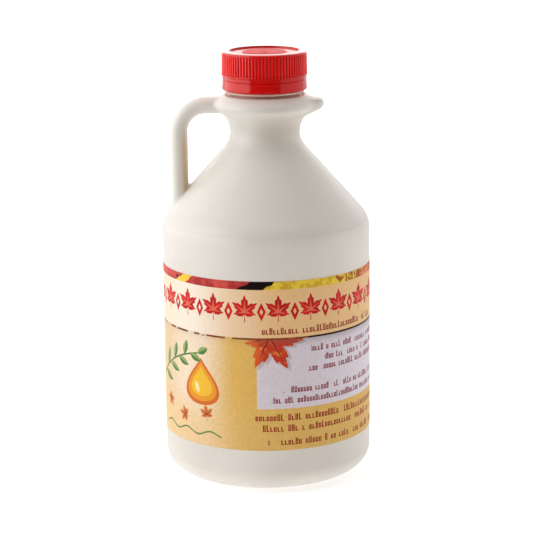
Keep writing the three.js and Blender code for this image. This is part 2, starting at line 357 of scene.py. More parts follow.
def body_outline(sizes):
    """Half of the body's section in millimetres, from the base to the foot of the neck."""
    wall, wall_top, curve = in_millimetres(sizes, "wall_radius", "wall_top", "shoulder_curve")
    waist, below, above = in_millimetres(sizes, "waist_radius", "waist_below", "waist_above")
    collar, collar_height = in_millimetres(sizes, "collar_radius", "collar_height")
    slope = sizes.shoulder_slope
    turn = 90 - math.degrees(slope)
    slope_start = wall - curve * (1 - math.sin(slope))
    slope_start_height = wall_top + curve * math.cos(slope)
    slope_end = waist + below * (1 - math.sin(slope))
    rise = (slope_start - slope_end) * math.tan(slope)
    waist_height = slope_start_height + rise + below * math.cos(slope)
    under = (collar - COLLAR_EDGE_UNDER, collar_height)
    top = (collar - COLLAR_EDGE_TOP[0], collar_height)
    return [
        (0, FOOT_HOLLOW[1]),
        FOOT_HOLLOW,
        (FOOT_RING[0], 0),
        *arc((FOOT_RING[1], BASE_CORNER), (wall - FOOT_RING[1], BASE_CORNER), -90, 0),
        *arc((wall - curve, wall_top), (curve, curve), 0, turn),
        *arc((waist + below, waist_height), (below, below), 180 + turn, 180),
        *arc((waist + above, waist_height), (above, above), 180, 180 - COLLAR_UNDER_TURN)[1:],
        *arc(under, (COLLAR_EDGE_UNDER, COLLAR_EDGE_UNDER), -COLLAR_UNDER_TURN, 0, step=6),
        *arc(top, COLLAR_EDGE_TOP, 0, COLLAR_TOP_TURN, step=6)[1:],
        NECK_FOOT,
        NECK_TROUGH,
        (0, NECK_TROUGH[1]),
    ]


class DistanceTable:
    """Signed distance to a turned shape, looked up by radius and height."""

    def __init__(self, outline, cell):
        line = np.array(outline, float)
        self.cell = cell
        self.low = np.array((-2.0, line[:, 1].min() - 6))
        self.count = np.ceil((line.max(0) + 6 - self.low) / cell).astype(int) + 1
        across = self.low[0] + cell * np.arange(self.count[0])
        up = self.low[1] + cell * np.arange(self.count[1])
        rows = [self.measure(np.column_stack((np.abs(across), np.full(len(across), h))), line) for h in up]
        self.values = np.array(rows)

    def measure(self, points, line):
        """The nearest distance to the open line, negative inside it and the axis."""
        start = line[:-1]
        step = line[1:] - start
        length = (step ** 2).sum(1)
        away = points[:, None] - start[None]
        along = np.clip((away * step[None]).sum(2) / length, 0, 1)
        gap = away - along[..., None] * step[None]
        nearest = np.sqrt((gap ** 2).sum(2).min(1))
        crosses = (start[:, 1] > points[:, None, 1]) != (line[1:, 1] > points[:, None, 1])
        rise = np.where(np.abs(step[:, 1]) < 1e-12, 1e-12, step[:, 1])
        meets = start[:, 0] + (points[:, None, 1] - start[:, 1]) / rise * step[:, 0]
        inside = (crosses & (meets > points[:, None, 0])).sum(1) % 2 == 1
        return np.where(inside, -nearest, nearest)

    def at(self, radius, height):
        """Smooth look-up between the cells."""
        across = np.clip((radius - self.low[0]) / self.cell, 0, self.count[0] - 1.001)
        up = np.clip((height - self.low[1]) / self.cell, 0, self.count[1] - 1.001)
        i = across.astype(int)
        j = up.astype(int)
        a = across - i
        b = up - j
        v = self.values
        lower = v[j, i] * (1 - a) + v[j, i + 1] * a
        upper = v[j + 1, i] * (1 - a) + v[j + 1, i + 1] * a
        return lower * (1 - b) + upper * b


def soft_union(a, b, blend):
    """The smaller of two distances, with a fillet where they cross."""
    share = np.clip(0.5 + 0.5 * (b - a) / blend, 0, 1)
    return b + (a - b) * share - blend * share * (1 - share)


def handle_distance(p, sizes):
    """Distance to the bar: a rounded section along two straights and a bend."""
    reach, height, bend = in_millimetres(sizes, "handle_reach", "handle_height", "handle_bend")
    half_thick, half_wide = (v / 2 for v in in_millimetres(sizes, "handle_thickness", "handle_width"))
    top, foot = HANDLE_FLARE_HEIGHTS
    down = np.clip((top - p[:, 2]) / (top - foot), 0, 1)
    growth = 1 + HANDLE_FLARE * down * down
    x = -reach + (p[:, 0] + reach) / growth
    y = p[:, 1] / growth
    across = x + reach - half_thick - bend
    up = p[:, 2] - (height - bend)
    outward = np.where(across >= 0, up, np.where(up <= 0, -across, np.hypot(across, up))) - bend
    power = HANDLE_SQUARENESS
    u = np.abs(outward) / half_thick
    v = np.abs(y) / half_wide
    total = (u ** power + v ** power) ** (1 / power)
    slope_u = (u / np.maximum(total, 1e-9)) ** (power - 1) / half_thick
    slope_v = (v / np.maximum(total, 1e-9)) ** (power - 1) / half_wide
    distance = (total - 1) / np.maximum(np.hypot(slope_u, slope_v), 0.05) * growth
    return np.maximum(distance, p[:, 0] - HANDLE_ROOT)


def lip_fill(p, reach):
    """How far a point is out of the tongue: 0 on its skin, negative inside."""
    along = np.clip((p[:, 0] - LIP_ROOT) / (reach - LIP_ROOT), 0, 2)
    root, tip = LIP_HALF_WIDTHS
    half_wide = root + (tip - root) * np.minimum(along, 1)
    top = LIP_TOP[0] + LIP_TOP[1] * (p[:, 0] - LIP_GAUGE)
    under = LIP_UNDER[0] + LIP_UNDER[1] * (p[:, 0] - LIP_GAUGE)
    half_tall = np.maximum((top - under) / 2, 0.6)
    side = np.abs(p[:, 1]) / half_wide
    upright = (p[:, 2] - (top + under) / 2) / half_tall
    power = np.where(upright > 0, LIP_SQUARENESS_ABOVE, LIP_SQUARENESS_BELOW)
    section = (side ** power + np.abs(upright) ** power) ** (1 / power)
    return (section ** 2 + along ** LIP_NOSE_POWER) ** 0.5 - 1


def slope_of(rule, p, reach=0.02):
    """How a value changes along X, Y and Z."""
    slopes = []
    for axis in range(3):
        step = np.zeros(3)
        step[axis] = reach
        slopes.append((rule(p + step) - rule(p - step)) / (2 * reach))
    return np.column_stack(slopes)


def lip_distance(p, sizes):
    """Distance to the tongue."""
    reach = sizes.lip_reach / MM
    slope = slope_of(lambda q: lip_fill(q, reach), p)
    return lip_fill(p, reach) / np.maximum(np.linalg.norm(slope, axis=1), 0.02)


def skin_distance(p, table, sizes):
    """Distance to the whole moulding: body, handle and lip with their fillets."""
    x, y, z = p[:, 0], np.abs(p[:, 1]), p[:, 2]
    distance = table.at(np.hypot(x, y), z)
    by_handle = (x < HANDLE_REGION[0]) & (y < HANDLE_REGION[1]) & (z > HANDLE_REGION[2])
    by_lip = (x > LIP_REGION[0]) & (y < LIP_REGION[1]) & (z > LIP_REGION[2])
    for near, rule, blend in (
            (by_handle, handle_distance, sizes.handle_blend), (by_lip, lip_distance, sizes.lip_blend)):
        distance[near] = soft_union(distance[near], rule(p[near], sizes), blend / MM)
    return distance


def start_skin(spacing):
    """An even mesh over the frame's jug, cut off at the foot of the neck."""
    start = bmesh.new()
    start.from_mesh(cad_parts["jug"].data)
    bmesh.ops.remove_doubles(start, verts=start.verts, dist=1e-6)
    everything = start.verts[:] + start.edges[:] + start.faces[:]
    cut = bmesh.ops.bisect_plane(
        start, geom=everything, plane_co=(0, 0, NECK_FOOT[1] * MM), plane_no=(0, 0, 1), clear_outer=True)
    rim = [e for e in cut["geom_cut"] if isinstance(e, bmesh.types.BMEdge)]
    bmesh.ops.contextual_create(start, geom=rim)
    mesh = bpy.data.meshes.new("jug_start")
    start.to_mesh(mesh)
    start.free()
    draft = add_object("jug_start", mesh)
    even = draft.modifiers.new("even", "REMESH")
    even.mode = "VOXEL"
    even.voxel_size = spacing
    result = shaped_mesh(draft)
    bpy.data.objects.remove(draft)
    bpy.data.meshes.remove(mesh)
    return result


def settle(mesh, rule, rounds=5):
    """Evens out a mesh's points and pulls them onto the skin where the rule is zero."""
    count = len(mesh.vertices)
    p = np.zeros(count * 3)
    mesh.vertices.foreach_get("co", p)
    p = p.reshape(-1, 3) / MM
    ends = np.zeros(len(mesh.edges) * 2, int)
    mesh.edges.foreach_get("vertices", ends)
    ends = ends.reshape(-1, 2)
    sides = np.bincount(ends.ravel(), minlength=count)
    for turn in range(rounds):
        if turn < rounds - 1:
            total = np.zeros_like(p)
            for axis in range(3):
                total[:, axis] += np.bincount(ends[:, 0], p[ends[:, 1], axis], count)
                total[:, axis] += np.bincount(ends[:, 1], p[ends[:, 0], axis], count)
            p += 0.6 * (total / sides[:, None] - p)
        for _ in range(3):
            slope = slope_of(rule, p, 0.1)
            size = np.maximum((slope ** 2).sum(1), 0.2)
            p -= np.clip(rule(p), -1, 1)[:, None] * slope / size[:, None]
    mesh.vertices.foreach_set("co", (p * MM).ravel())
    mesh.update()


def feed(tree, socket, value):
    """Links a node or one of its outputs to a socket, or sets the socket's own value."""
    if isinstance(value, bpy.types.Node):
        value = value.outputs[0]
    if isinstance(value, bpy.types.NodeSocket):
        tree.links.new(value, socket)
    elif socket.type == "RGBA":
        socket.default_value = (*value[:3], 1)
    else:
        socket.default_value = value


def add_node(tree, kind, inputs=(), **settings):
    """A new node. Its inputs come in their order, or under their names or places."""
    node = tree.nodes.new(kind)
    for name, value in settings.items():
        setattr(node, name, value)
    for place, value in inputs.items() if isinstance(inputs, dict) else enumerate(inputs):
        feed(tree, node.inputs[place], value)
    return node


class Finish:
    """A material's nodes, with short calls for the ones that this jug needs."""

    def __init__(self, name):
        self.material = bpy.data.materials.new(name)
        self.material.use_nodes = True
        self.tree = self.material.node_tree
        self.tree.nodes.clear()
        self.shader = self.node("ShaderNodeBsdfPrincipled")
        self.node("ShaderNodeOutputMaterial", (self.shader,))
        self.place = self.node("ShaderNodeTexCoord").outputs["Object"]
        self.x, self.y, self.z = self.node("ShaderNodeSeparateXYZ", (self.place,)).outputs

    def node(self, kind, inputs=(), **settings):
        return add_node(self.tree, kind, inputs, **settings)

    def set(self, **values):
        """Sets or links the shader's inputs."""
        for name, value in values.items():
            feed(self.tree, self.shader.inputs[name.replace("_", " ")], value)

    def math(self, operation, *values):
        return self.node("ShaderNodeMath", values, operation=operation).outputs[0]

    def plus(self, a, b):
        return self.math("ADD", a, b)

    def minus(self, a, b):
        return self.math("SUBTRACT", a, b)

    def times(self, *values):
        product = values[0]
        for value in values[1:]:
            product = self.math("MULTIPLY", product, value)
        return product

    def above(self, value, limit):
        return self.math("GREATER_THAN", value, limit)

    def below(self, value, limit):
        return self.math("LESS_THAN", value, limit)

    def between(self, value, low, high):
        return self.times(self.above(value, low), self.below(value, high))

    def greater(self, a, b):
        return self.math("MAXIMUM", a, b)

    def unsigned(self, value):
        return self.math("ABSOLUTE", value)

    def length(self, u, v):
        return self.math("SQRT", self.plus(self.times(u, u), self.times(v, v)))

    def millimetres(self, metres):
        return self.times(metres, 1 / MM)

    def mix(self, share, first, second):
        return self.node("ShaderNodeMix", {0: share, 6: first, 7: second}, data_type="RGBA").outputs[2]

    def over(self, ground, share, colour):
        return self.mix(share, ground, colour)

    def fade(self, value, low, high, first=0.0, second=1.0):
        """Goes smoothly from one number to another as a value goes from low to high."""
        inputs = (value, low, high, first, second)
        return self.node("ShaderNodeMapRange", inputs, interpolation_type="SMOOTHSTEP").outputs[0]

    def fall(self, value, low, high):
        """Goes smoothly from 1 to 0 as a value goes from low to high."""
        return self.fade(value, low, high, 1.0, 0.0)

    def rise_and_fall(self, value, limits):
        """Goes from 0 to 1 between the first two limits and back between the last two."""
        return self.times(self.fade(value, *limits[:2]), self.fall(value, *limits[2:]))

    def noise(self, scale, detail, stretch=None):
        place = self.place
        if stretch:
            place = self.node("ShaderNodeMapping", {"Vector": place, "Scale": stretch})
        inputs = {"Vector": place, "Scale": scale, "Detail": detail}
        return self.node("ShaderNodeTexNoise", inputs).outputs["Fac"]

    def clouds(self, scale, detail, low, high, first=0.0, second=1.0):
        """Soft patches that go from one number to another."""
        return self.fade(self.noise(scale, detail), low, high, first, second)

    def relief(self, height, depth, below=None):
        """Bump of a given depth in millimetres for a height from 0 to 1."""
        inputs = {"Strength": 1.0, "Distance": depth * MM, "Height": height}
        if below:
            inputs["Normal"] = below
        return self.node("ShaderNodeBump", inputs).outputs[0]


def darker(colour, share):
    return tuple(v * share for v in colour)


def jug_plastic(colour):
    """Waxy off-white plastic: soft gloss, faint clouding, uneven wall, mould line and wall step, with
    painted shade and warm bounce inside the handle, painted shade with red bounce below the cap, a painted
    pink reflection of the cap on the neck ring, and painted shade under the collar.
    """
    look = Finish(JUG_FINISH)
    up = look.millimetres(look.z)
    out = look.millimetres(look.x)
    beside = look.millimetres(look.unsigned(look.y))
    away = look.millimetres(look.length(look.x, look.y))
    tone = look.mix(look.clouds(38, 3, 0.35, 0.65), colour, darker(colour, 0.955))
    above_step = look.fade(up, WALL_STEP - 2, WALL_STEP + 1, 0.0, 0.5)
    tone = look.over(tone, above_step, from_screen(229, 226, 219))
    # Painted shade and warm bounce: a tan tone on the handle's inner side, which faces the body
    handle_inner_painted_shade = look.times(
        look.rise_and_fall(out, HANDLE_PAINTED_SHADE_OUT), look.fall(beside, *HANDLE_PAINTED_SHADE_BESIDE),
        look.rise_and_fall(up, HANDLE_PAINTED_SHADE_UP), 0.85)
    tone = look.over(tone, handle_inner_painted_shade, from_screen(217, 190, 146))
    # Painted shade with red bounce from the cap: a dark pinkish tone on the collar top below the cap
    painted_shade_below_cap = look.times(look.rise_and_fall(up, NECK_PAINTED_SHADE_UP), look.fall(away, *NECK_PAINTED_SHADE_AWAY), 0.6)
    tone = look.over(tone, painted_shade_below_cap, from_screen(224, 158, 134))
    # Painted shade: a deeper tone under the collar, towards the lip
    painted_shade_under_collar = look.times(
        look.rise_and_fall(up, COLLAR_SHADE_UP), look.fade(out, *COLLAR_SHADE_OUT), 0.5)
    tone = look.over(tone, painted_shade_under_collar, from_screen(214, 198, 182))
    # Painted reflection: a pale pink tone from the red cap on the neck ring
    tone = look.over(tone, look.fade(up, *NECK_RING_PAINTED_REFLECTION_UP, 0.0, 0.6), from_screen(250, 206, 190))
    look.set(
        Base_Color=tone, Roughness=look.clouds(260, 2, 0.3, 0.7, 0.36, 0.46), IOR=SURFACE_IOR,
        Subsurface_Weight=0.12, Subsurface_Radius=(1.0, 0.82, 0.62), Subsurface_Scale=1.5 * MM)
    waves = look.relief(look.noise(55, 1, stretch=(1, 1, 0.45)), 0.25)
    grain = look.relief(look.noise(1900, 2), 0.015, waves)
    step = look.relief(look.fall(up, WALL_STEP - 1, WALL_STEP + 0.4), 0.3, grain)
    look.set(Normal=look.relief(look.fall(beside, *MOULD_LINE), 0.07, step))
    return look.material


def cap_plastic(colour):
    """Glossy red moulded plastic, a brighter red painted on the ribbed zone as painted light, painted shade
    in the grooves between the ribs, duller in the grooves and in the recess.
    """
    look = Finish(CAP_FINISH)
    up = look.millimetres(look.z)
    away = look.millimetres(look.length(look.x, look.y))
    ribbed = look.rise_and_fall(up, RIBBED_UP)
    # Painted shade: the grooves between the ribs are darkened in colour and made duller
    groove = look.times(ribbed, look.fall(away, *RIB_GROOVE_AWAY))
    disc = look.times(look.fall(away, *DISC_AWAY), look.fade(up, *DISC_UP))
    tone = look.mix(look.clouds(120, 2, 0.3, 0.7), colour, darker(colour, 0.86))
    # Painted light: the ribbed zone gets a brighter red, standing in for the reflections on the rib crests
    tone = look.over(tone, ribbed, from_screen(252, 12, 8))
    dull = look.plus(look.times(disc, 0.35), look.times(groove, 0.4))
    look.set(
        # The grooves' painted shade goes into the base colour here
        Base_Color=look.over(tone, groove, darker(colour, 0.85)), IOR=SURFACE_IOR,
        Roughness=look.plus(dull, look.clouds(600, 2, 0.3, 0.7, 0.11, 0.17)),
        Normal=look.relief(look.noise(900, 1), 0.002))
    return look.material


def cosine_and_sine(degrees):
    return math.cos(math.radians(degrees)), math.sin(math.radians(degrees))


class Print(Finish):
    """The label's printing. s runs round the jug from the front in millimetres, t is height."""

    def __init__(self, name, radius):
        super().__init__(name)
        turn = self.math("ARCTAN2", self.x, self.times(self.y, -1.0))
        self.s = self.times(turn, radius / MM)
        self.t = self.millimetres(self.z)
        self.paper = (255, 255, 255)

    def paint(self, share, colour):
        """Lays a colour over the paper by its share."""
        self.paper = self.over(self.paper, share, colour)

    def mix(self, share, first, second):
        """Mixes two tones. Plain ones have red, green and blue from 0 to 255."""
        return super().mix(share, *(from_screen(*t) if isinstance(t, tuple) else t for t in (first, second)))

    def field(self, left, right, bottom, top):
        """1 in a plain upright field."""
        return self.times(self.between(self.s, left, right), self.between(self.t, bottom, top))

    def across(self, left, right, first, second):
        """Goes from one tone to another round the jug."""
        return self.mix(self.fade(self.s, left, right), first, second)

    def turn(self, a, b, degrees):
        """Two distances, measured along turned axes instead."""
        c, k = cosine_and_sine(degrees)
        return (
            self.plus(self.times(a, c), self.times(b, k)), self.minus(self.times(b, c), self.times(a, k)))

    def turned_about(self, s, t, degrees):
        """Distances from a point along two turned axes."""
        return self.turn(self.minus(self.s, s), self.minus(self.t, t), degrees)

    def squared_share(self, value, whole):
        return self.math("POWER", self.math("DIVIDE", value, whole), 2.0)

    def oval(self, u, v, half_u, half_v):
        return self.below(self.plus(self.squared_share(u, half_u), self.squared_share(v, half_v)), 1.0)

    def maple_leaf(self, u, v, size):
        """A five-lobed leaf that points along v: its edge is a curve of radius by angle."""
        turn = self.math("ARCTAN2", self.unsigned(u), v)
        node = self.node("ShaderNodeFloatCurve", {"Value": self.math("DIVIDE", turn, math.pi)})
        edge = node.mapping.curves[0]
        for i, (degrees, radius) in enumerate(leaf_edge()):
            place = (degrees / 180, radius)
            if i < 2:
                edge.points[i].location = place
            else:
                edge.points.new(*place)
        for corner in edge.points:
            corner.handle_type = "VECTOR"
        node.mapping.update()
        return self.below(self.length(u, v), self.times(node.outputs[0], size))

    def veins(self, u, v, size, width):
        """A thin line along each lobe, narrower towards its point."""
        lines = 0.0
        side = self.unsigned(u)
        for degrees, reach in LEAF_LOBES:
            along, across = self.turn(v, side, degrees)
            taper = self.fade(along, 0.0, reach * size, width, 0.0)
            line = self.below(self.unsigned(across), taper)
            lines = self.greater(lines, self.times(line, self.between(along, 0.0, reach * size)))
        return lines

    def blade(self, s, t, degrees, half_length, half_width):
        """A slender leaf with pointed ends: its share and the side it is on."""
        u, v = self.turned_about(s, t, degrees)
        edge = self.times(self.minus(1.0, self.squared_share(u, half_length)), half_width)
        return self.below(self.unsigned(v), edge), self.above(v, 0.0)

    def small_row(self, left, right, base, tall, pitch):
        """A row of short strokes in groups, like print too small to read."""
        step = self.math("DIVIDE", self.s, pitch)
        along = self.math("FRACT", step)
        cell = self.node("ShaderNodeCombineXYZ", (self.math("FLOOR", step), base))
        chance = self.node("ShaderNodeTexWhiteNoise", {"Vector": cell}, noise_dimensions="2D")
        tallness, kind, gap = self.node("ShaderNodeSeparateXYZ", (chance.outputs["Color"],)).outputs
        up = self.math("DIVIDE", self.minus(self.t, base), tall)
        top = self.plus(0.7, self.times(self.above(tallness, 0.7), 0.3))
        stem = self.between(along, 0.06, 0.42)
        other = self.times(self.between(along, 0.56, 0.84), self.above(kind, 0.35))
        high_bar = self.times(self.between(up, 0.54, 0.7), self.above(kind, 0.5))
        bar = self.times(self.greater(self.below(up, 0.16), high_bar), self.between(along, 0.06, 0.84))
        shape = self.greater(self.greater(stem, other), bar)
        inside = self.times(self.above(up, 0.0), self.below(up, top))
        return self.times(shape, inside, self.above(gap, 0.16), self.between(self.s, left, right))


def leaf_edge():
    """Radius by angle from a leaf's tip: pointed lobes with a tooth each side, notches and a stalk."""
    edge = []
    for i, (angle, reach) in enumerate(LEAF_LOBES):
        edge += [(angle + offset, reach * share) for offset, share in LOBE_TEETH if angle + offset >= 0]
        if i + 1 < len(LEAF_LOBES):
            edge.append(((angle + LEAF_LOBES[i + 1][0]) / 2, LEAF_NOTCH))
    return [edge[0], (180, 0.62), *edge[1:], *LEAF_STALK]


def grounds(look, sizes):
    """The label's plain fields below the band: cream on the left, gold, and the panel for small print."""
    cream = look.across(-60, -40, (238, 208, 164), (252, 231, 204))
    warm = look.across(-32, -12, cream, sizes.gold)
    pale = look.across(-30, -4, (246, 210, 152), (232, 190, 108))
    look.paper = look.mix(look.fade(look.t, 52, 28, 0.0, 0.85), warm, pale)
    panel = look.across(0, 60, (226, 218, 228), (232, 226, 238))
    look.paint(look.field(PANEL_LEFT, PANEL_RIGHT, PANEL_BOTTOM, PANEL_TOP), panel)
    look.paint(look.clouds(700, 3, 0.35, 0.65, 0.0, 0.12), (170, 130, 70))


def cream_band(look):
    """The band behind the large motifs, warmer to the right."""
    cream = look.across(-58, -40, (250, 232, 208), (255, 243, 226))
    warm = look.across(-38, -8, cream, (248, 214, 174))
    band = look.across(-12, 8, warm, (245, 201, 144))
    band = look.over(band, look.clouds(900, 3, 0.35, 0.65, 0.0, 0.1), (200, 160, 100))
    look.paint(look.field(*ALL_ROUND, PANEL_TOP, BAND_TOP), band)


def band_shadow(look):
    """The soft shade below the cream band, and the thin dark line along it, broken on the left."""
    shade = look.times(look.fade(look.t, 71, PANEL_TOP, 0.0, 0.45), look.fade(look.s, -20, 30, 0.3, 1.0))
    look.paint(shade, (120, 96, 96))
    ink = look.mix(look.noise(300, 1), (20, 8, 6), (190, 90, 30))
    whole = look.above(look.s, SHADOW_LINE_WHOLE)
    broken = look.above(look.noise(170, 1), 0.46)
    line = look.times(look.field(*ALL_ROUND, *SHADOW_LINE), look.greater(broken, whole))
    look.paint(line, look.mix(whole, ink, (40, 16, 18)))


def autumn_strip(look):
    """Wavy fields in autumn colours along the upper edge."""
    wave = look.times(look.minus(look.noise(120, 2), 0.5), 9.0)
    slant = look.times(look.minus(look.t, 101.0), -1.6)
    s = look.plus(look.plus(look.s, wave), slant)
    strip = look.mix(look.clouds(90, 3, 0.4, 0.6), (222, 84, 76), (180, 44, 44))
    spots = look.times(look.above(look.noise(330, 1), 0.66), look.below(look.s, STRIP_SPOTS_END))
    strip = look.over(strip, spots, (60, 20, 16))
    strip = look.over(strip, look.between(s, *STRIP_YELLOW), (248, 208, 70))
    strip = look.over(strip, look.above(s, STRIP_DARK_START), (22, 8, 8))
    gold = look.mix(look.clouds(260, 3, 0.38, 0.62), (246, 214, 66), (214, 168, 40))
    strip = look.over(strip, look.above(s, STRIP_GOLD_START), gold)
    brown = look.above(look.noise(420, 2), look.fade(look.s, 20, 46, 0.8, 0.5))
    strip = look.over(strip, look.times(brown, look.above(s, STRIP_BROWN_START)), (176, 90, 40))
    coral = look.mix(look.clouds(150, 2, 0.4, 0.6), (214, 70, 60), (240, 150, 80))
    strip = look.over(strip, look.above(s, STRIP_CORAL_START), coral)
    look.paint(look.field(*ALL_ROUND, BAND_TOP, STRIP_TOP), strip)


def motif_row(look, red):
    """Red leaves with lighter hearts in a row, a small lozenge between each two."""
    always_positive = look.plus(look.s, 400 * MOTIF_PITCH)
    u = look.minus(look.math("MODULO", always_positive, MOTIF_PITCH), MOTIF_PITCH / 2)
    v = look.minus(look.t, MOTIF_HEIGHT)
    tone = look.mix(look.clouds(140, 2, 0.35, 0.65), red, (192, 14, 10))
    halo = look.times(look.maple_leaf(u, v, MOTIF_SIZE + 0.9), 0.35)
    look.paint(halo, (255, 236, 214))
    look.paint(look.maple_leaf(u, v, MOTIF_SIZE), tone)
    hearts = look.times(look.veins(u, v, MOTIF_SIZE * 0.8, 0.5), 0.7)
    look.paint(hearts, (240, 130, 100))
    aside = look.minus(MOTIF_PITCH / 2, look.unsigned(u))
    spread = look.plus(look.times(aside, 2.1), look.unsigned(v))
    look.paint(look.between(spread, 1.6, 4.4), tone)


def hanging_leaf(look):
    """An orange leaf that hangs from under the band, its point to the lower right."""
    u, v = look.turned_about(*HANGING_LEAF)
    u = look.plus(u, look.times(look.minus(look.noise(150, 2), 0.5), 2.2))
    shade = look.maple_leaf(*look.turned_about(*HANGING_LEAF_SHADE), HANGING_LEAF_SIZE + 0.3)
    look.paint(look.times(shade, 0.3), (120, 84, 70))
    tone = look.mix(look.clouds(160, 3, 0.38, 0.62), (232, 98, 40), (204, 56, 26))
    tone = look.over(tone, look.clouds(330, 2, 0.55, 0.7, 0.0, 0.8), (240, 142, 66))
    tone = look.over(tone, look.veins(u, v, HANGING_LEAF_SIZE, 0.5), (160, 28, 16))
    look.paint(look.maple_leaf(u, v, HANGING_LEAF_SIZE), tone)


def syrup_drop(look):
    """A drop of syrup: orange edge, amber body, a bright glint."""
    s, t, size = DROP
    u, v = look.turned_about(s, t, 0)
    for share, colour in DROP_RINGS:
        up = look.math("DIVIDE", v, size * share)
        bulge = look.math("SQRT", look.greater(look.minus(1.0, look.times(up, up)), 0.0))
        taper = look.math("POWER", look.greater(look.times(look.minus(1.0, up), 0.5), 0.0), 0.75)
        edge = look.times(bulge, taper, 1.25 * size * share)
        look.paint(look.below(look.unsigned(u), edge), colour)
    glint = look.oval(*look.turned_about(s - 2.6, t - 3, 20), 1.1, 2.6)
    look.paint(glint, (255, 240, 180))


def twig(look):
    """A green twig with a leaf to each side in turn."""
    s, t, degrees, length = TWIG
    c, k = cosine_and_sine(degrees)
    u, v = look.turned_about(s, t, degrees)
    sag = look.times(u, look.minus(length, u), TWIG_SAG)
    stem = look.below(look.unsigned(look.minus(v, sag)), LINE_HALF_WIDTH)
    look.paint(look.times(stem, look.between(u, 0, length)), (86, 128, 62))
    last = TWIG_LEAVES - 1
    for i in range(TWIG_LEAVES):
        along = length * (0.12 + 0.88 * i / last)
        lift = TWIG_SAG * along * (length - along)
        turn = degrees + (TWIG_LEAF_SPREAD if i % 2 else -TWIG_LEAF_SPREAD) * (i < last)
        half = 5.2 - 0.25 * i
        leaf_c, leaf_k = cosine_and_sine(turn)
        centre = (s + along * c - lift * k + half * leaf_c, t + along * k + lift * c + half * leaf_k)
        share, side = look.blade(*centre, turn, half, TWIG_LEAF_HALF_WIDTH)
        look.paint(share, look.mix(side, (84, 134, 70), (150, 176, 100)))


def fallen_leaves(look):
    """Three small orange leaves and a thin green wavy line below the twig."""
    for i in range(3):
        u, v = look.turned_about(-56 + 14 * i, 37 + 3 * math.cos(2.4 * i), 150 - 70 * i)
        veins = look.veins(u, v, FALLEN_LEAF_SIZE, 0.35)
        tone = look.mix(veins, (222, 130, 60), (180, 70, 30))
        look.paint(look.maple_leaf(u, v, FALLEN_LEAF_SIZE), tone)
    left, right, height = WAVY_LINE
    wave = look.times(look.math("SINE", look.times(look.s, 0.42)), 1.1)
    line = look.below(look.unsigned(look.minus(look.minus(look.t, height), wave)), LINE_HALF_WIDTH)
    look.paint(look.times(line, look.between(look.s, left, right)), (112, 140, 80))


def label_print(sizes):
    """The whole print, drawn from the ground up."""
    look = Print("label_print", sizes.radius)
    grounds(look, sizes)
    syrup_drop(look)
    twig(look)
    fallen_leaves(look)
    for left, base in PANEL_ROWS:
        look.paint(look.small_row(left, ROW_END, base, 3.0, 1.5), (140, 6, 34))
    for left, base in GOLD_ROWS:
        look.paint(look.small_row(left, ROW_END, base, 3.2, 1.7), (160, 36, 8))
    hanging_leaf(look)
    band_shadow(look)
    cream_band(look)
    motif_row(look, sizes.red)
    look.paint(look.small_row(*BAND_ROW, 3.2, 1.75), (150, 40, 24))
    autumn_strip(look)
    look.set(
        Base_Color=look.paper, Roughness=look.clouds(500, 2, 0.3, 0.7, 0.42, 0.52), IOR=SURFACE_IOR,
        Specular_IOR_Level=0.2, Normal=look.relief(look.noise(2500, 2), 0.004))
    return look.material


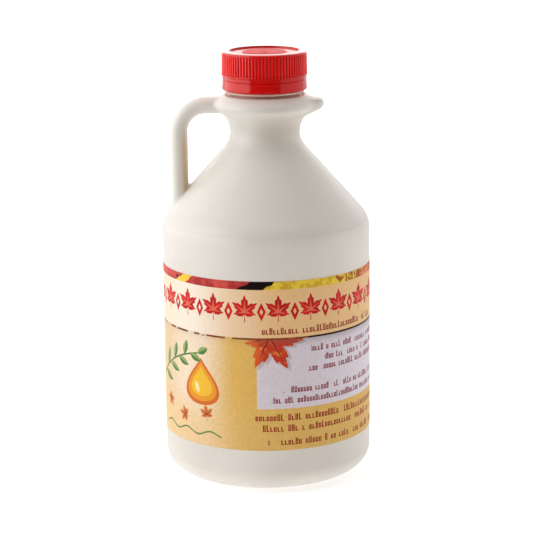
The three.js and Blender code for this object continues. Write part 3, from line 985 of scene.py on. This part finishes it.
def rib_ring_tree():
    """Geometry nodes: upright tapered ribs set round a ring, joined to the turned piece they are on."""
    tree = bpy.data.node_groups.new("rib_ring", "GeometryNodeTree")
    sockets = tree.interface
    sockets.new_socket("Geometry", in_out="INPUT", socket_type="NodeSocketGeometry")
    sockets.new_socket("Geometry", in_out="OUTPUT", socket_type="NodeSocketGeometry")
    sockets.new_socket("Count", in_out="INPUT", socket_type="NodeSocketInt")
    for name in ("Radius", "Bottom", "Height", "Foot width", "Crest width", "Depth", "Draft", "Rounding"):
        sockets.new_socket(name, in_out="INPUT", socket_type="NodeSocketFloat")
    sockets.new_socket("Material", in_out="INPUT", socket_type="NodeSocketMaterial")

    def add(kind, inputs=(), **settings):
        return add_node(tree, kind, inputs, **settings)

    def joined(first, second):
        both = add("GeometryNodeJoinGeometry", (first,))
        feed(tree, both.inputs[0], second)
        return both

    given = add("NodeGroupInput").outputs
    section = add("GeometryNodeCurvePrimitiveQuadrilateral", {
        "Bottom Width": given["Foot width"], "Top Width": given["Crest width"],
        "Height": given["Depth"], "Offset": 0}, mode="TRAPEZOID")
    soft = add(
        "GeometryNodeFilletCurve", {"Curve": section, "Radius": given["Rounding"], "Count": 2}, mode="POLY")
    sheet = add("GeometryNodeFillCurve", (soft,))
    rise = add("ShaderNodeCombineXYZ", (0, 0, given["Height"]))
    upright = add(
        "GeometryNodeExtrudeMesh", {"Mesh": sheet, "Offset": rise, "Offset Scale": 1, "Individual": False})
    closed = joined(add("GeometryNodeFlipFaces", (sheet,)), upright)
    merged = add("GeometryNodeMergeByDistance", {"Geometry": closed, "Distance": 1e-6})
    x, y, z = add("ShaderNodeSeparateXYZ", (add("GeometryNodeInputPosition"),)).outputs
    share = add("ShaderNodeMath", (z, given["Height"]), operation="DIVIDE")
    lean = add("ShaderNodeMath", (share, given["Draft"]), operation="MULTIPLY")
    inward = add("ShaderNodeMath", (lean, -1), operation="MULTIPLY")
    shift = add("ShaderNodeCombineXYZ", (0, inward, given["Bottom"]))
    leaned = add("GeometryNodeSetPosition", {"Geometry": merged, "Offset": shift})
    angle = add("ShaderNodeMath", (y, x), operation="ARCTAN2")
    quarter_back = add("ShaderNodeMath", (angle, math.pi / 2), operation="SUBTRACT")
    facing = add("ShaderNodeCombineXYZ", (0, 0, quarter_back))
    ring = add("GeometryNodeMeshCircle", {"Vertices": given["Count"], "Radius": given["Radius"]})
    copies = add("GeometryNodeInstanceOnPoints", {"Points": ring, "Instance": leaned, "Rotation": facing})
    real = add("GeometryNodeRealizeInstances", (joined(given["Geometry"], copies),))
    finish = add("GeometryNodeSetMaterial", {"Geometry": real, "Material": given["Material"]})
    add("NodeGroupOutput", (finish,))
    return tree


def with_ribs(piece, material, **values):
    """Adds a ring of ribs to a turned piece and makes the result its plain mesh."""
    tree = bpy.data.node_groups.get("rib_ring") or rib_ring_tree()
    ribs = piece.modifiers.new("ribs", "NODES")
    ribs.node_group = tree
    values["Material"] = material
    for item in tree.interface.items_tree:
        name = item.name.replace(" ", "_")
        if item.in_out == "INPUT" and name in values:
            ribs[item.identifier] = values[name]
    mesh = shaped_mesh(piece)
    plain = piece.data
    piece.modifiers.clear()
    piece.data = mesh
    bpy.data.meshes.remove(plain)


def shared_material(name, maker, sizes):
    """The material of this name, made the first time that a piece needs it."""
    return bpy.data.materials.get(name) or maker(tuple(sizes.colour))


class JUG_OT_body(bpy.types.Operator):
    """Builds the moulded jug with its handle and pouring lip"""
    bl_idname = "jug.body"
    bl_label = "Body, handle and lip"

    def execute(self, context):
        sizes = context.scene.jug_body
        mesh = start_skin(sizes.spacing * (1))
        table = DistanceTable(body_outline(sizes), TABLE_CELL)
        settle(mesh, lambda p: skin_distance(p, table, sizes))
        mesh.name = "jug_body"
        piece = add_object("jug_body", mesh)
        material = shared_material(JUG_FINISH, jug_plastic, sizes)
        finish_piece(piece, material, "jug_plastic", "jug", crease=0)
        return {"FINISHED"}


class JUG_OT_neck(bpy.types.Operator):
    """Builds the neck with its groove and support ring"""
    bl_idname = "jug.neck"
    bl_label = "Neck"

    def execute(self, context):
        outline = [
            (0, NECK_LOW), (NECK_STEM, NECK_LOW), (NECK_STEM, NECK_RING_LOW - 0.25),
            (NECK_STEM + 0.3, NECK_RING_LOW - 0.05), (NECK_RING - 0.2, NECK_RING_LOW),
            (NECK_RING, NECK_RING_LOW + 0.2), (NECK_RING, NECK_RING_HIGH - 0.25),
            (NECK_RING - 0.2, NECK_RING_HIGH), (NECK_RADIUS + 0.2, NECK_RING_HIGH + 0.1),
            (NECK_RADIUS, NECK_RING_HIGH + 0.3), (NECK_RADIUS, NECK_HIGH - 0.3),
            (NECK_RADIUS - 0.3, NECK_HIGH), (0, NECK_HIGH),
        ]
        piece = turned("jug_neck", outline, NECK_SIDES)
        material = shared_material(JUG_FINISH, jug_plastic, context.scene.jug_body)
        finish_piece(piece, material, "jug_plastic")
        return {"FINISHED"}


class JUG_OT_cap(bpy.types.Operator):
    """Builds the ribbed screw cap"""
    bl_idname = "jug.cap"
    bl_label = "Screw cap"

    def execute(self, context):
        sizes = context.scene.jug_cap
        radius = sizes.radius / MM
        top = CAP_HIGH.z / MM
        floor = top - RECESS_DEPTH
        edge, inner, corner = RIM_EDGE, RIM_INNER_EDGE, RECESS_CORNER
        outline = [
            (0, HOLLOW_TOP), (HOLLOW_RADIUS, HOLLOW_TOP), (HOLLOW_RADIUS, CAP_FOOT),
            (radius - 0.2, CAP_FOOT), (radius, CAP_FOOT + 0.2), (radius, BEAD_LOW - 0.2),
            (BEAD_RADIUS - 0.05, BEAD_LOW), (BEAD_RADIUS, BEAD_LOW + 0.1),
            (BEAD_RADIUS, BEAD_HIGH - 0.15), (BEAD_RADIUS - 0.1, BEAD_HIGH),
            (RIB_BACKING, BEAD_HIGH + 0.05), (RIB_BACKING, top - 1.3), (RIM_RADIUS, top - 1.2),
            *arc((RIM_RADIUS - edge, top - 1.03), (edge, edge), 0, 83, step=13.9),
            *arc((RECESS_RADIUS + 0.25, top - inner), (inner, inner), 83, 180, step=30),
            *arc((RECESS_RADIUS - corner, floor + corner), (corner, corner), 0, -90, step=15),
            (RECESS_RING + 0.2, floor), (RECESS_RING, floor - 0.1), (RECESS_RING - 0.2, floor),
            (GATE_RADIUS, floor), (GATE_RADIUS - 0.1, floor - 0.2), (GATE_RADIUS - 0.9, floor - 0.2),
            (GATE_RADIUS - 1, floor + 0.1), (0, floor + 0.1),
        ]
        piece = turned("screw_cap", outline, CAP_SIDES)
        material = shared_material(CAP_FINISH, cap_plastic, sizes)
        with_ribs(
            piece, material, Count=sizes.rib_count,
            Radius=sizes.rib_crest_radius - sizes.rib_depth / 2 - 0.1 * MM,
            Bottom=RIB_LOW * MM, Height=(top - RIB_DROP - RIB_LOW) * MM,
            Foot_width=sizes.rib_foot, Crest_width=sizes.rib_crest,
            Depth=sizes.rib_depth + 0.2 * MM, Draft=0.2 * MM, Rounding=0.12 * MM)
        finish_piece(piece, material, "cap_plastic", "cap")
        return {"FINISHED"}


class JUG_OT_band(bpy.types.Operator):
    """Builds the tamper band and the small bridges that hold it to the cap"""
    bl_idname = "jug.band"
    bl_label = "Tamper band"

    def execute(self, context):
        sizes = context.scene.jug_cap
        radius = sizes.radius / MM
        flare = radius + RING_FLARE
        low = BAND_LOW.z / MM
        corner = (flare - RING_CORNER, low + RING_CORNER)
        outline = [
            (HOLLOW_RADIUS, low), *arc(corner, (RING_CORNER, RING_CORNER), -90, 0, step=15),
            (flare, low + RING_FLARE_HEIGHTS[0]), (radius + 0.02, low + RING_FLARE_HEIGHTS[1]),
            (radius, RING_HIGH - 0.15), (radius - 0.15, RING_HIGH), (HOLLOW_RADIUS, RING_HIGH),
        ]
        piece = turned("tamper_ring", outline, CAP_SIDES, closed=True)
        material = shared_material(CAP_FINISH, cap_plastic, sizes)
        with_ribs(
            piece, material, Count=BRIDGE_COUNT, Radius=sizes.radius - BRIDGE_INSET * MM,
            Bottom=BRIDGE_LOW * MM, Height=BRIDGE_TALL * MM,
            Foot_width=BRIDGE_WIDTHS[0] * MM, Crest_width=BRIDGE_WIDTHS[1] * MM,
            Depth=BRIDGE_DEPTH * MM, Draft=0.0, Rounding=0.05 * MM)
        finish_piece(piece, material, "cap_plastic", "tamper_band")
        return {"FINISHED"}


class JUG_OT_label(bpy.types.Operator):
    """Builds the printed paper label"""
    bl_idname = "jug.label"
    bl_label = "Label"

    def execute(self, context):
        sizes = context.scene.jug_label
        outer, paper, low, high = in_millimetres(sizes, "radius", "thickness", "bottom", "top")
        inner = outer - paper
        face = [(outer, low + (high - low) * i / LABEL_ROWS) for i in range(LABEL_ROWS + 1)]
        section = [(inner, low), *face, (inner, high)]
        start = math.pi / 2 + sizes.seam / 2
        sweep = 2 * math.pi - sizes.seam
        points = []
        for i in range(LABEL_SIDES + 1):
            turn = start + sweep * i / LABEL_SIDES
            points += [(r * math.cos(turn), r * math.sin(turn), z) for r, z in section]
        size = len(section)
        faces = []
        for a in range(0, LABEL_SIDES * size, size):
            for j in range(size):
                k = (j + 1) % size
                faces.append((a + j, a + size + j, a + size + k, a + k))
        faces.append(tuple(range(size)))
        faces.append(tuple(LABEL_SIDES * size + j for j in reversed(range(size))))
        piece = plain_mesh("paper_label", points, faces)
        finish_piece(piece, label_print(sizes), "label_paper", "label")
        return {"FINISHED"}


class JUG_OT_stage(bpy.types.Operator):
    """Sets up the floor, the lights and the camera"""
    bl_idname = "jug.stage"
    bl_label = "Floor, lights and camera"

    def execute(self, context):
        scene = context.scene
        scene.view_settings.view_transform = "Standard"
        self.floor()
        self.room(scene)
        self.softbox("key", (-0.86, -0.32, 0.68), (0.8, 0.9), 4.9)
        self.softbox("fill", (0.9, 0.25, 0.4), (0.6, 0.8), 1.0)
        self.softbox("top", (0, -0.25, 1.2), (1.0, 0.8), 3.2)
        self.softbox("edge", (-0.5, 0.35, 1.0), (0.5, 0.5), 1.3)
        self.card("left_card", (-350, -470), (-350, 300), 2.0)
        self.card("right_card", (350, -340), (350, 300), 0.7)
        self.card("back_card", (-400, 600), (400, 600), 2.5, bottom=BACK_CARD_LOW)
        self.camera(scene, scene.jug_stage)
        return {"FINISHED"}

    def floor(self):
        """A white floor that glows a little, more so away from the jug and behind it."""
        wide, front, back = FLOOR_HALF_WIDTH, FLOOR_FRONT, FLOOR_BACK
        corners = [(-wide, front, 0), (wide, front, 0), (wide, back, 0), (-wide, back, 0)]
        floor = plain_mesh("floor", corners, [(0, 1, 2, 3)])
        look = Finish("floor_white")
        glow = look.fade(look.length(look.x, look.y), 0.15, 0.9, 0.45, 0.85)
        glow = look.times(glow, look.fade(look.y, -0.6, -0.1, 0.15, 1.0))
        look.set(
            Base_Color=look.mix(look.noise(3, 1), (0.9, 0.9, 0.9), (0.93, 0.93, 0.93)), Roughness=0.9,
            Emission_Color=(1, 1, 1), Emission_Strength=glow)
        floor.data.materials.append(look.material)
        floor.visible_glossy = False

    def card(self, name, start, end, glow, bottom=CARD_LOW):
        """An upright white card that only the glossy faces of the jug and cap show."""
        corners = [(*start, bottom), (*end, bottom), (*end, CARD_HIGH), (*start, CARD_HIGH)]
        card = plain_mesh(name, corners, [(0, 1, 2, 3)])
        look = Finish(name)
        look.set(Base_Color=(0, 0, 0), Emission_Color=(1, 0.97, 0.95), Emission_Strength=glow)
        card.data.materials.append(look.material)
        card.visible_camera = False
        card.visible_diffuse = False
        card.visible_shadow = False

    def room(self, scene):
        """A white backdrop behind the jug that turns to a dim warm room in front of it."""
        world = bpy.data.worlds.new("soft_room")
        world.use_nodes = True
        tree = world.node_tree
        around = add_node(tree, "ShaderNodeTexCoord").outputs["Generated"]
        back = add_node(tree, "ShaderNodeSeparateXYZ", (around,)).outputs[1]
        share = add_node(tree, "ShaderNodeMapRange", (back, -0.3, 0.7), interpolation_type="SMOOTHSTEP")
        tones = {0: share, 6: (0.115, 0.09, 0.07), 7: (0.95, 0.95, 0.95)}
        colour = add_node(tree, "ShaderNodeMix", tones, data_type="RGBA").outputs[2]
        feed(tree, tree.nodes["Background"].inputs[0], colour)
        scene.world = world

    def softbox(self, name, place, size, power):
        """A rectangular lamp that faces the jug, placed and sized in metres."""
        lamp = bpy.data.lights.new(name, "AREA")
        lamp.shape = "RECTANGLE"
        lamp.size, lamp.size_y = size
        lamp.energy = power
        light = add_object(name, lamp)
        light.location = place
        aim = Vector((0, 0, 0.1)) - Vector(place)
        light.rotation_euler = aim.to_track_quat("-Z", "Y").to_euler()

    def camera(self, scene, sizes):
        """The camera, set back from the jug's axis at its height, then tilted and rolled."""
        lens = bpy.data.cameras.new("camera")
        lens.sensor_width = 36
        lens.lens = sizes.lens
        camera = add_object("camera", lens)
        raised = Matrix.Translation((0, 0, sizes.camera_height))
        turned_round = Matrix.Rotation(sizes.camera_turn, 4, "Z")
        away = Matrix.Translation((0, -sizes.camera_distance, 0))
        tilt = Matrix.Rotation(math.pi / 2 - sizes.camera_pitch, 4, "X")
        roll = Matrix.Rotation(-sizes.camera_roll, 4, "Z")
        camera.matrix_world = raised @ turned_round @ away @ tilt @ roll
        scene.camera = camera


class JUG_PT_panel(bpy.types.Panel):
    """Lists the jug's pieces"""
    bl_label = "Syrup jug"
    bl_space_type = "VIEW_3D"
    bl_region_type = "UI"
    bl_category = "Syrup jug"

    def draw(self, context):
        for step in STEPS:
            self.layout.operator(step.bl_idname)


SIZE_GROUPS = {
    "jug_body": JugBodySizes,
    "jug_cap": CapSizes,
    "jug_label": LabelSizes,
    "jug_stage": StageSizes,
}
STEPS = (JUG_OT_body, JUG_OT_neck, JUG_OT_cap, JUG_OT_band, JUG_OT_label, JUG_OT_stage)


def register():
    for group in SIZE_GROUPS.values():
        bpy.utils.register_class(group)
    for name, group in SIZE_GROUPS.items():
        setattr(bpy.types.Scene, name, PointerProperty(type=group))
    for step in STEPS:
        bpy.utils.register_class(step)
    bpy.utils.register_class(JUG_PT_panel)


def unregister():
    bpy.utils.unregister_class(JUG_PT_panel)
    for step in reversed(STEPS):
        bpy.utils.unregister_class(step)
    for name, group in SIZE_GROUPS.items():
        delattr(bpy.types.Scene, name)
        bpy.utils.unregister_class(group)


def main():
    register()
    bpy.ops.jug.body()
    bpy.ops.jug.neck()
    bpy.ops.jug.cap()
    bpy.ops.jug.band()
    bpy.ops.jug.label()
    bpy.ops.jug.stage()


if __name__ == "__main__":
    main()
